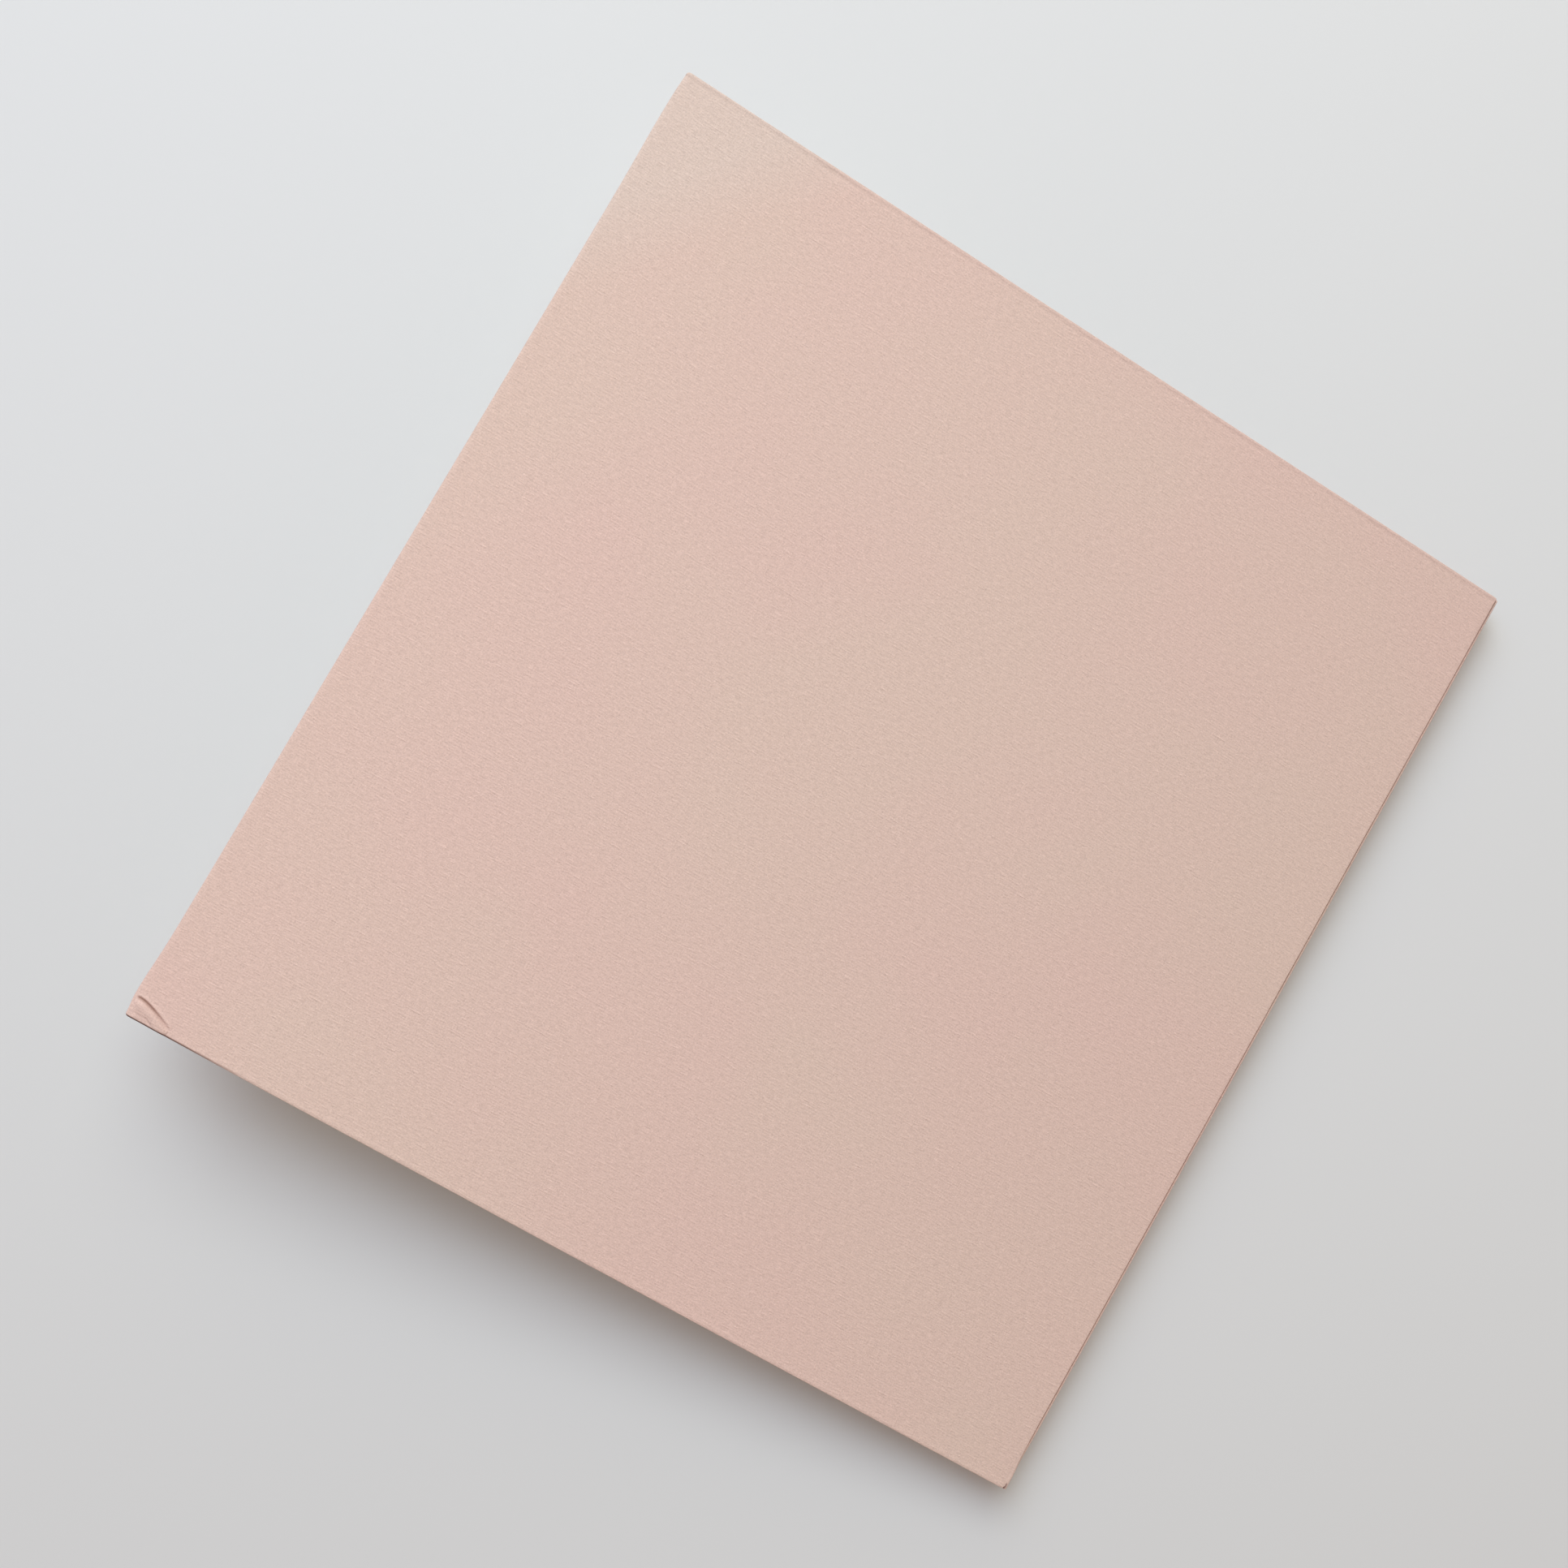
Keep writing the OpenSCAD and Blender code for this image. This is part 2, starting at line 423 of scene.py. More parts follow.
def cloth_relief(n, weave, u, v):
    """How far the cloth stands up: its weave, and a few long slubs, each full along its middle half."""
    height = n.weighted(weave, RELIEF)
    for start, end, up in LONG_SLUBS:
        middle, half = PANEL_X1 - (start + end) / 2 * MM, (end - start) / 2 * MM
        ends = n.times(n.near(u, middle, half), 2.0, clamp=True)
        height = n.plus(height, n.times(n.near(v, up * MM, LONG_SLUB_REACH), ends, LONG_SLUB_HEIGHT))
    return height


def cloth_colour(n, flat, weave, u, v):
    """Pink and beige clouds, a paler corner, a thread-by-thread shade, painted shade darker towards the spine and
    the tail, and dark flecks.
    """
    clouds = n.noise(flat, CLOUD_SCALE, 3, 0.45)
    base = n.ramp(clouds, [(0.36, linear(*CLOTH_PINK)), (0.62, linear(*CLOTH_BEIGE))])
    from_corner = n.plus(n.math("DIVIDE", n.minus(PANEL_X1, u), PALE_CORNER[0]),
                         n.math("DIVIDE", n.plus(v, COVER_HY), PALE_CORNER[1]), n.times(clouds, 0.5))
    base = n.mix(n.rising(from_corner, 1.5, 1.0), base, linear(*CLOTH_PALE))

    shade = n.plus(n.weighted(weave, SHADE), SHADE_BASE, n.times(weave["slub"], SLUB_SHADE))
    # Painted shade: darker towards the spine and the tail
    painted_light_ramp = n.plus(n.rising(u, PANEL_X0, PANEL_X1), n.rising(v, -COVER_HY, COVER_HY))
    shade = n.times(shade, n.plus(n.times(painted_light_ramp, PAINTED_SHADE_STEP), PAINTED_SHADE_BASE))
    grey = n.new("ShaderNodeCombineColor")
    for socket in grey.inputs:
        n.link(shade, socket)
    colour = n.mix(1.0, base, grey.outputs[0], "MULTIPLY")

    peaks = n.minus(n.noise(n.scaled(flat, FLECK_SCALE), 1.0, 1), FLECKS_FROM, clamp=True)
    flecks = n.times(n.times(peaks, FLECK_GAIN, clamp=True), FLECK_STRENGTH)
    return n.mix(flecks, colour, linear(*CLOTH_FLECK))


def painted_edge_shade(n, u, v):
    """Painted shade: the cloth is drawn darker along the head edge by the fore corner, and in the front joint."""
    head_edge = n.times(n.rising(v, COVER_HY - 0.58 * MM, COVER_HY - 0.36 * MM),
                        n.rising(v, COVER_HY + 0.50 * MM, COVER_HY + 0.25 * MM),
                        n.rising(u, PANEL_X1 - 30 * MM, PANEL_X1 - 8 * MM), HEAD_EDGE_SHADE)
    tail_joint = n.times(n.rising(u, PANEL_X0 - 1.2 * MM, PANEL_X0 - 1.0 * MM),
                         n.rising(u, PANEL_X0 - 0.15 * MM, PANEL_X0 - 0.30 * MM),
                         n.rising(v, 14 * MM - COVER_HY, 2 * MM - COVER_HY))
    head_joint = n.times(n.rising(u, PANEL_X0 - 0.75 * MM, PANEL_X0 - 0.60 * MM),
                         n.rising(u, PANEL_X0 - 0.10 * MM, PANEL_X0 - 0.25 * MM),
                         n.rising(v, COVER_HY - 1.7 * MM, COVER_HY - 1.2 * MM))
    joint = n.times(n.math("MAXIMUM", tail_joint, head_joint), JOINT_SHADE)
    return n.math("MAXIMUM", head_edge, joint)


def painted_crease_shade(n, u, v):
    """Painted shade: the cloth is drawn darker in its corner crease, most where the crease starts by the fore
    edge.
    """
    fore, head = n.minus(PANEL_X1, u), n.minus(COVER_HY, v)
    start, end = CORNER_CREASE[0][0] * MM, CORNER_CREASE[-1][0] * MM
    ends = n.times(n.rising(fore, start, start + CREASE_COMES), n.rising(fore, end, end - CREASE_GOES))
    line = crease_line(n, fore, CORNER_CREASE)
    return n.times(n.near(head, line, CREASE_HALF_W), ends, CREASE_SHADE)


def book_cloth():
    """Blush book cloth: fine plain weave, slubs that run across the book, faint clouds of colour."""
    n = Nodes("blush_book_cloth")
    flat = n.coordinates("UV")
    u, v, _ = n.split(flat)
    wobble = n.noise(n.scaled(flat, WOBBLE_SCALE), 1.0, 2)
    slubs = n.minus(n.noise(n.scaled(flat, SLUB_SCALE), 1.0, 0), SLUBS_FROM, clamp=True)

    def threads(place, pitch, wander):
        return n.math("SINE", n.plus(n.times(place, 2 * math.pi / pitch), n.times(wobble, wander)))

    weave = {
        "across": threads(v, THREAD_UP, WANDER_ACROSS),
        "along": threads(u, THREAD_ACROSS, WANDER_ALONG),
        "yarn": n.noise(n.scaled(flat, YARN_SCALE), 1.0, 2, 0.6),
        "yarn_up": n.noise(n.scaled(flat, YARN_UP_SCALE), 1.0, 2, 0.6),
        "grain": n.noise(flat, GRAIN_SCALE, 1, 0.6),
        "slub": n.times(slubs, SLUB_GAIN, clamp=True),
    }
    n.bump(cloth_relief(n, weave, u, v), 0.9, CLOTH_BUMP)
    # Painted shade along the head edge and in the front joint
    colour = n.mix(painted_edge_shade(n, u, v), cloth_colour(n, flat, weave, u, v), linear(*CLOTH_IN_SHADE))
    # Painted shade in the corner crease
    n.colour(n.mix(painted_crease_shade(n, u, v), colour, linear(*CREASE_SHADE_COLOUR)))
    return n.finish(0.86, Specular_IOR_Level=0.25, Sheen_Weight=0.12, Sheen_Roughness=0.5)


def paper(name, colour):
    """Uncoated paper: fine fibres in its colour and surface."""
    n = Nodes(name)
    place = n.coordinates("Object")
    fibre = n.noise(n.scaled(place, FIBRE_SCALE), 1.0, 3, 0.6)
    cloud = n.noise(place, PAPER_CLOUD_SCALE, 2)
    warm = tuple(c * 0.965 for c in colour)
    n.colour(n.mix(n.plus(n.times(fibre, 0.5), n.times(cloud, 0.5)), colour, warm))
    n.bump(fibre, 0.25, 0.03 * MM)
    return n.finish(0.78, Specular_IOR_Level=0.3)


def greyboard():
    """Binder's board: grey pulp with light and dark flecks."""
    n = Nodes("binders_board")
    place = n.coordinates("Object")
    pulp = n.noise(place, PULP_SCALE, 4, 0.7)
    flecks = n.noise(n.scaled(place, BOARD_FLECK_SCALE), 1.0, 2)
    n.colour(n.ramp(n.plus(n.times(pulp, 0.6), n.times(flecks, 0.4)),
                    [(0.35, linear(128, 122, 112)), (0.65, linear(176, 170, 158))]))
    n.bump(pulp, 0.4, 0.05 * MM)
    return n.finish(0.9, Specular_IOR_Level=0.2)


def twisted(name, light, dark, pitch):
    """Yarn or tape whose strands show as fine slanting stripes."""
    n = Nodes(name)
    axes = n.split(n.coordinates("Object"))
    strand = n.math("SINE", n.times(n.plus(*axes), 2 * math.pi / pitch))
    tone = n.plus(n.times(strand, 0.5), 0.5)
    n.colour(n.mix(tone, dark, light))
    n.bump(tone, 0.5, 0.05 * MM)
    return n.finish(0.75, Sheen_Weight=0.1)


def table_top():
    """Pale satin table."""
    n = Nodes("pale_table")
    place = n.coordinates("Object")
    n.colour(n.mix(n.noise(place, TABLE_CLOUD_SCALE, 2), TABLE, tuple(c * 0.97 for c in TABLE)))
    n.bump(n.noise(place, TABLE_GRAIN_SCALE, 3), 0.03, 0.1 * MM)
    return n.finish(0.62, Specular_IOR_Level=0.3)


TABLE = linear(217, 217, 217)

CLOTH = book_cloth()
PAGE = paper("writing_paper", linear(243, 238, 226))
ENDPAPER = paper("endpaper", linear(244, 240, 231))
BOARD = greyboard()
LINEN_THREAD = twisted("linen_thread", linear(240, 234, 218), linear(206, 198, 178), 0.35 * MM)
MULL = twisted("lining_cloth", linear(236, 231, 216), linear(212, 206, 188), 0.9 * MM)
BAND = twisted("band_weave", linear(242, 232, 220), linear(214, 170, 158), 1.5 * MM)

# Edges that bend by more than this many degrees stay crisp
CLOTH_CREASE = 60
BAND_CREASE = 50
SHEET_CREASE = 35


def dress(obj, material):
    """Gives an object its material."""
    obj.data.materials.clear()
    obj.data.materials.append(material)


def cloth_object(name, points, faces, uvs, share=0.9):
    """Book cloth made from its outer face: it gets that share of its thickness, on the inside."""
    obj = new_mesh(name, points, faces, uvs)
    thicken(obj, share * CLOTH_T, -1)
    sharp_by_angle(obj, CLOTH_CREASE)
    dress(obj, CLOTH)
    return obj


def curve_through(points, count):
    """Even points on a smooth curve through those points."""
    p = np.array(points, float)
    p = np.vstack([2 * p[0] - p[1], p, 2 * p[-1] - p[-2]])
    out = []
    for t in np.linspace(0, len(points) - 1, count):
        i = min(int(t), len(points) - 2)
        f = t - i
        a, b, c, d = p[i:i + 4]
        out.append(0.5 * (2 * b + (c - a) * f + (2 * a - 5 * b + 4 * c - d) * f ** 2
                          + (3 * b - a - 3 * c + d) * f ** 3))
    return np.array(out)


# ---- covers -------------------------------------------------------------------------------------

PLAN_R = 0.8 * MM       # how round the covers' corners are, seen from above
EDGE_IN = 0.16 * MM     # how far in from the edge the cloth starts to turn over the board
EDGE_R = 0.3 * MM       # how round the cloth turns over the board's edge
ARC_STEPS = 5
SHOULDER = 0.04 * MM    # how far the cloth sinks at the board's spine edge
FORE_LIFT = 0.10 * MM   # the fore edge's turn-in lies this much over the other two

# Rings of the cloth on the outer face, and of its turn-in, by their distance from the edge
FACE_RINGS = (PLAN_R, 0.60 * MM, 0.45 * MM, 0.34 * MM, 0.25 * MM)
TURN_IN_RINGS = (PLAN_R, 1.6 * MM, 3 * MM, 5 * MM, 8 * MM, 12 * MM, TURN_IN + CLOTH_T)

# Near the ends of the fore edge the cloth stands off it: by how much, how far from the end, how widely
HEAD_BULGE = (0.45 * MM, 7 * MM, 8 * MM)
TAIL_BULGE = (0.30 * MM, 12 * MM, 13 * MM)
BULGE_START = 5 * MM

# The loose cloth at the head's fore corner: how high it stands before its crease and beside it, how deep
# the crease is, and how deep the nick beyond it
SLACK_UP = 0.78 * MM
LIP_UP = 0.26 * MM
CREASE_DEPTH = 0.25 * MM
NICK_DEPTH = 0.22 * MM

# Grid lines of a cover: how far from the fore edge and from the head they are close, and how close
DETAILED = (12 * MM, 7 * MM, 0.16 * MM)
PLAIN = (3 * MM, 3 * MM, 0.35 * MM)
NEAR_SPINE, SPINE_STEP = 3 * MM, 0.5 * MM
NEAR_TAIL, TAIL_STEP = 3.5 * MM, 0.25 * MM
STEP_ACROSS, STEP_UP = 1.7 * MM, 2.2 * MM


def edge_profile():
    """From the top face over the edge to the end of the turn-in: (inset, height, length along the cloth)."""
    rings = [(inset, COVER_HZ, PLAN_R - inset) for inset in FACE_RINGS]
    angles = [i / ARC_STEPS * math.pi / 2 for i in range(ARC_STEPS + 1)]
    reached = PLAN_R - EDGE_IN
    for a in angles:
        height = COVER_HZ - EDGE_R * (1 - math.cos(a))
        rings.append((EDGE_IN * (1 - math.sin(a)), height, reached + EDGE_R * a))
    side = 2 * (COVER_HZ - EDGE_R)
    reached += EDGE_R * math.pi / 2
    rings.append((0.0, 0.0, reached + side / 2))
    reached += side
    for a in angles:
        height = -COVER_HZ + EDGE_R * (1 - math.sin(a))
        rings.append((EDGE_R * (1 - math.cos(a)), height, reached + EDGE_R * a))
    reached += EDGE_R * math.pi / 2
    for inset in TURN_IN_RINGS:
        rings.append((inset, -COVER_HZ, reached + inset - EDGE_R))
    return rings


def cover_lines(grid):
    """Grid lines across and along a cover, close together where its cloth has detail."""
    near_fore, near_head, step = grid
    x_end, y_end = PANEL_X1 - PLAN_R, COVER_HY - PLAN_R
    xs = spaced(PANEL_X0, PANEL_X0 + NEAR_SPINE, SPINE_STEP)
    xs += spaced(PANEL_X0 + NEAR_SPINE, x_end - near_fore, STEP_ACROSS)
    xs += spaced(x_end - near_fore, x_end, step) + [x_end]
    ys = spaced(-y_end, -y_end + NEAR_TAIL, TAIL_STEP)
    ys += spaced(-y_end + NEAR_TAIL, y_end - near_head, STEP_UP)
    ys += spaced(y_end - near_head, y_end, step) + [y_end]
    return np.array(xs), np.array(ys)


def rim_path(xs, ys, inset):
    """One ring of a cover, from its spine edge at the tail round to its spine edge at the head:
    places, outward directions, and the places where the top face ends."""
    places, outward, starts = [], [], []
    x_end, y_end = PANEL_X1 - PLAN_R, COVER_HY - PLAN_R
    radius = max(PLAN_R - inset, 0)
    past = max(inset - PLAN_R, 0)
    kx = (x_end - past - PANEL_X0) / (x_end - PANEL_X0)
    ky = (y_end - past) / y_end

    def add(x, y, nx, ny):
        places.append((PANEL_X0 + (x - PANEL_X0) * kx + nx * radius, y * ky + ny * radius))
        outward.append((nx, ny))
        starts.append((x, y))

    for x in xs:
        add(x, -y_end, 0, -1)
    for i in range(1, ARC_STEPS):
        a = (i / ARC_STEPS - 1) * math.pi / 2
        add(x_end, -y_end, math.cos(a), math.sin(a))
    for y in ys:
        add(x_end, y, 1, 0)
    for i in range(1, ARC_STEPS):
        a = i / ARC_STEPS * math.pi / 2
        add(x_end, y_end, math.cos(a), math.sin(a))
    for x in xs[::-1]:
        add(x, y_end, 0, 1)
    return np.array(places), np.array(outward), np.array(starts)


def bowed(x, y):
    """Where x moves to: the cloth stands off the fore edge a little near its ends."""
    share = (x - PANEL_X0) / (PANEL_X1 - PANEL_X0)
    bulge = 0
    for end, (amount, at, width) in ((COVER_HY - y, HEAD_BULGE), (COVER_HY + y, TAIL_BULGE)):
        bulge = bulge + amount * ridge(end, at, width) * smooth(end / BULGE_START)
    return x + bulge * smooth(share * 6 - 5)


def shoulder(x):
    """The cloth sinks a little over the board's spine edge."""
    return -SHOULDER * np.clip(1 - (x - PANEL_X0) / (1.0 * MM), 0, 1) ** 2


def along_curve(across, down, curve):
    """For each place, how far along a curve it is, from 0 to 1, and its distance towards the corner."""
    line = curve_through(curve, 40) * MM
    dx = across[:, None] - line[None, :, 0]
    dy = down[:, None] - line[None, :, 1]
    nearest = np.argmin(dx ** 2 + dy ** 2, axis=1)
    row = np.arange(len(across))
    tangent = np.gradient(line, axis=0)[nearest]
    tangent /= np.linalg.norm(tangent, axis=1)[:, None]
    side = dy[row, nearest] * -tangent[:, 0] + dx[row, nearest] * tangent[:, 1]
    ahead = dx[row, nearest] * tangent[:, 0] + dy[row, nearest] * tangent[:, 1]
    beyond = (np.abs(ahead) > 0.3 * MM) & ((nearest == 0) | (nearest == len(line) - 1))
    return np.where(beyond, 0.0, nearest / (len(line) - 1)), side


def corner_lift(fore, head):
    """How far the cloth stands up at the head's fore corner, where it is loose round a sharp crease."""
    along, side = along_curve(fore, head, CORNER_CREASE)
    belly = np.clip(along * (1 - along) * 4, 0, 1) ** 0.6
    decay = ridge(np.maximum(side / MM - 1.3, 0), 0, 1.9)
    slack = SLACK_UP * smooth((side + 0.05 * MM) / (1.35 * MM)) * decay
    lip = LIP_UP * ridge(side, -0.50 * MM, 0.36 * MM)
    fold = CREASE_DEPTH * ridge(side, 0, np.where(side < 0, 0.20 * MM, 0.36 * MM))
    lift = belly * (slack + lip - fold)

    along, side = along_curve(fore, head, CORNER_NICK)
    width = np.where(side < 0, 0.15 * MM, 0.30 * MM)
    return lift - NICK_DEPTH * np.clip(along * (1 - along) * 4, 0, 1) * ridge(side, 0, width)


def front_relief(x, y):
    """How far the front cover's cloth stands up, in metres: rims, wavy edges and a wrinkle at one corner."""
    tail = y + COVER_HY
    head = COVER_HY - y
    fore = PANEL_X1 - x
    uneven = waves(x, y, 9 * MM, 3.1) + 0.6 * waves(x, y, 3.5 * MM, 7.7)
    rim = 0.11 * MM * (1 + 0.8 * uneven) * ridge(tail, 0.50 * MM, 0.45 * MM)
    rim += 0.05 * MM * (1 + 0.5 * uneven) * ridge(head, 0.8 * MM, 0.6 * MM)
    dip = -0.03 * MM * (1 + uneven) * ridge(tail, 1.5 * MM, 0.5 * MM)
    swell = 0.03 * MM * waves(x, y, 60 * MM, 1.3)

    # The cloth rolls over the fore edge, and drops sooner at the head near that edge
    roll = -0.20 * MM * np.clip(1 - fore / (1.4 * MM), 0, 1) ** 2
    depth = 0.10 * MM + 0.95 * MM * ridge(fore, 0, 20 * MM)
    drop = -depth * np.clip(1 - head / (0.55 * MM), 0, 1) ** 2

    # A small dent near the tail edge, towards the fore corner
    dent = -0.12 * MM * ridge(fore, 41 * MM, 2.6 * MM) * ridge(tail, 1.6 * MM, 0.9 * MM)
    return rim + dip + swell + roll + drop + corner_lift(fore, head) + dent + shoulder(x)


def back_relief(x, y):
    """The back cover lies on its face, so its cloth is pressed flat, a little uneven."""
    return shoulder(x) - 0.02 * MM * (1 + waves(x, y, 30 * MM, 21.5))


# The cloth between a cover and the spine, in millimetres from the hinge line: its outer face where it
# dips in a crease and swells again, its outer face where it is smooth, and the layer turned in
JOINT_MIDDLE = [(0.50, 1.31), (0.37, 1.29), (0.27, 1.20), (0.21, 0.95), (0.17, 0.60), (0.12, 0.24),
                (0.03, -0.02), (-0.08, -0.02), (-0.18, 0.20), (-0.30, 0.43), (-0.50, 0.50),
                (-0.72, 0.28), (-0.79, -0.10), (-0.74, -0.50)]
JOINT_ENDS = [(0.50, 1.31), (0.34, 1.32), (0.18, 1.33), (0.00, 1.32), (-0.18, 1.29), (-0.34, 1.20),
              (-0.45, 1.05), (-0.52, 0.86), (-0.56, 0.66), (-0.60, 0.44), (-0.64, 0.20),
              (-0.68, -0.04), (-0.71, -0.27), (-0.72, -0.50)]
JOINT_INSIDE = [(0.50, 0.71), (0.47, 0.50), (0.43, 0.28), (0.39, 0.05), (0.34, -0.20), (0.28, -0.50)]
JOINT_ROWS = 40
SPINE_ROWS = 22
RUN_STEPS = 70              # along half the spine
TURN_STEPS = 8              # round the turn at its end
TURN_IN_PLACES = (1 * MM, 3 * MM, 6 * MM, 10 * MM, TURN_IN)
JOINT_STEPS = np.linalg.norm(np.diff(curve_through(JOINT_MIDDLE, JOINT_ROWS) * MM, axis=0), axis=1)
JOINT_RUN = np.concatenate([[0], np.cumsum(JOINT_STEPS)])
SPINE_SIDE = 0.72 * MM      # from the hinge lines out to the spine's cloth
SPINE_SWELL = 0.25 * MM     # the spine's cloth swells this much at its middle
JOINT_TURN = 0.30 * MM      # how tightly the cloth turns in at the end of a joint
SPINE_TURN = 0.50 * MM      # and over the end of the spine card
HEAD_NOTCH = 0.5 * MM       # how far the front joint's cloth stops short at the head

# The cloth is one piece laid flat: the front cover starts at 0, the back cover past the spine
SPINE_FLAT = PANEL_X0 - JOINT_RUN[-1]
BACK_FLAT = SPINE_FLAT - (SPINE_LEN - 2 * SPINE_END) - JOINT_RUN[-1] + PANEL_X0
CLOTH_START = {1: 0.0, -1: BACK_FLAT}


def cover_panel(name, relief, grid, place, side, body, node):
    """Cloth glued over one board: face, three turned edges and their turn-ins. Side is 1 at the front."""
    xs, ys = cover_lines(grid)
    gx, gy = np.meshgrid(xs, ys, indexing="ij")
    gx, gy = gx.ravel(), gy.ravel()
    points = [np.stack([bowed(gx, gy), gy, COVER_HZ + relief(gx, gy)], 1)]
    uvs = [np.stack([gx, gy], 1)]
    faces = grid_faces(len(xs), len(ys))
    first = len(gx)
    rings = edge_profile()
    for inset, height, run in rings:
        flat_place, outward, starts = rim_path(xs, ys, inset)
        x, y = flat_place[:, 0], flat_place[:, 1]
        z = height + relief(x, y) * max(height, 0) / COVER_HZ
        if inset > PLAN_R:
            z = z + FORE_LIFT * (starts[:, 0] == xs[-1])
        points.append(np.stack([bowed(x, y), y, z], 1))
        uvs.append(starts + outward * run)
    count = len(uvs[1])
    for k in range(len(rings) - 1):
        a, b = first + k * count, first + (k + 1) * count
        faces += [(a + i, a + i + 1, b + i + 1, b + i) for i in range(count - 1)]
    flat = np.concatenate(uvs) * (side, 1) + (CLOTH_START[side], 0)
    obj = cloth_object(name, placed(np.concatenate(points), place), faces, flat)
    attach(obj, body)
    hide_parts(node)


def joint_place(side, share):
    """Where a joint's cloth stands at rest: share is 1 at the cover and 0 at the spine."""
    bent = float(smooth(share))
    if side > 0:
        return lift_matrix(FRONT_HINGE, LEAN + (AJAR - LEAN) * bent)
    return lift_matrix(BACK_HINGE, LEAN * (1 - bent)) @ Matrix.Diagonal((1, 1, -1, 1))


def wrapped_run(turn):
    """The cloth's way along the spine, from the end of one turn-in to the other.

    Each step is (place along y, how deep below the outer face, length along the cloth).
    """
    end = COVER_HY - turn
    half = [(end * i / RUN_STEPS, 0.0, end * i / RUN_STEPS) for i in range(1, RUN_STEPS + 1)]
    for i in range(1, TURN_STEPS + 1):
        a = i / TURN_STEPS * math.pi
        half.append((end + turn * math.sin(a), turn * (1 - math.cos(a)), end + turn * a))
    for back in TURN_IN_PLACES:
        half.append((end - back, 2 * turn, end + turn * math.pi + back))
    return [(-y, deep, -run) for y, deep, run in half[::-1]] + [(0.0, 0.0, 0.0)] + half


def away_from_ends(y):
    """0 near the head and the tail, where the cloth is drawn tight, and 1 along the middle."""
    return float(smooth((COVER_HY - abs(y) - 14 * MM) / (30 * MM) + 0.25 * wave(y, 0, 14 * MM, 5.5)))


def creased(y):
    """How deep the joints' crease is: full from the tail on, and fading before the head."""
    return float(smooth((COVER_HY - y - 3 * MM) / (14 * MM) + 0.2 * wave(y, 0, 14 * MM, 5.5)))


def head_notch(y, share):
    """How far the joint's cloth stops short at the head, just beside the front cover."""
    near_head = float(smooth((y - COVER_HY + 2.2 * MM) / (2.0 * MM)))
    return HEAD_NOTCH * near_head * math.exp(-((share - 0.12) / 0.11) ** 2)


def joint_cloth(name, side, relief, node):
    """The strip of cloth that bends between a cover and the spine. Side is 1 at the front."""
    middle = curve_through(JOINT_MIDDLE, JOINT_ROWS) * MM
    ends = curve_through(JOINT_ENDS, JOINT_ROWS) * MM
    inside = curve_through(JOINT_INSIDE, JOINT_ROWS) * MM
    points, flats = [], []
    for i in range(JOINT_ROWS):
        share = i / (JOINT_ROWS - 1)
        place = joint_place(side, 1 - share)
        turn = JOINT_TURN + (SPINE_TURN - JOINT_TURN) * share
        steps = wrapped_run(turn)
        ys = np.array([step[0] for step in steps])
        lifts = relief(np.full(len(ys), PANEL_X0), ys) + SHOULDER
        for (y, deep, run), lift in zip(steps, lifts):
            full = creased(y)
            short = head_notch(y, share) if side > 0 else 0.0
            profile = ends * (1 - full) + middle * full
            tangent = profile[min(i + 1, JOINT_ROWS - 1)] - profile[max(i - 1, 0)]
            outward = np.array([tangent[1], -tangent[0]]) / np.linalg.norm(tangent)
            uneven = 0.06 * MM * wave(y, share * 3 * MM, 7 * MM, 9.2 + side) * math.sin(math.pi * share)
            tucked = deep / (2 * turn)
            x, z = (profile[i] + outward * uneven) * (1 - tucked) + inside[i] * tucked
            z += lift * (1 - float(smooth(share * 4)))
            points.append(place @ Vector((x, y - short, z)))
            flats.append((CLOTH_START[side] + side * (PANEL_X0 - JOINT_RUN[i]), run))
    columns = len(points) // JOINT_ROWS
    obj = cloth_object(name, points, grid_faces(JOINT_ROWS, columns), flats, share=0.5)
    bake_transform(obj)
    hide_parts(node)


def spine_cloth():
    """Cloth over the spine card, turned in at its head and tail."""
    run_y = wrapped_run(SPINE_TURN)
    length = SPINE_LEN - 2 * SPINE_END
    points, flats = [], []
    for i in range(SPINE_ROWS):
        share = i / (SPINE_ROWS - 1)
        z = SPINE_END + length * share
        belly = math.sin(math.pi * share)
        for y, deep, run in run_y:
            uneven = 0.04 * MM * wave(y, z, 12 * MM, 2.2) * belly
            swell = (SPINE_SWELL * away_from_ends(y) * belly + uneven) * (deep == 0)
            points.append(ON_SPINE @ Vector((deep - SPINE_SIDE - swell, y, z)))
            flats.append((SPINE_FLAT - length * (1 - share), run))
    obj = cloth_object("spine_outer_cloth", points, grid_faces(SPINE_ROWS, len(run_y)), flats)
    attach(obj, "spine")
    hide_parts("spine_cloth")


cover_panel("front_panel_cloth", front_relief, DETAILED, ON_FRONT, 1, "front_cover", "front_cover_cloth")
cover_panel("back_panel_cloth", back_relief, PLAIN, ON_BACK, -1, "back_cover", "back_cover_cloth")
joint_cloth("front_joint_cloth", 1, front_relief, "front_cover_cloth")
joint_cloth("rear_joint_cloth", -1, back_relief, "back_cover_cloth")
spine_cloth()

# ---- pages --------------------------------------------------------------------------------------

SHEET_SHARE = 0.97          # of a leaf's room that its paper fills
LEAF_COLUMNS = 49           # points up each leaf
LEAF_ROWS = 12              # points across a page
FLYLEAF_ROWS = 14
FOLD_STEPS = 10
CUT_UNEVEN = 0.04 * MM      # how unevenly the leaves' edges are cut
LINING_ROWS = 9
LINING_COLUMNS = 121
BAND_ROWS = 61
BAND_AROUND = 24
BAND_RIB = 0.42 * MM        # from rib to rib of a band's bead
TAPE_ACROSS, TAPE_ALONG = 12, 6
TAPE_T = 0.07 * MM


def on_leaves(body):
    """Where the leaves of a body stand at rest, about their turning line."""
    return lift_matrix(LEAF_AXIS, 0.0 if body == "back_cover" else lift_at_rest(f"{body}_turn"))


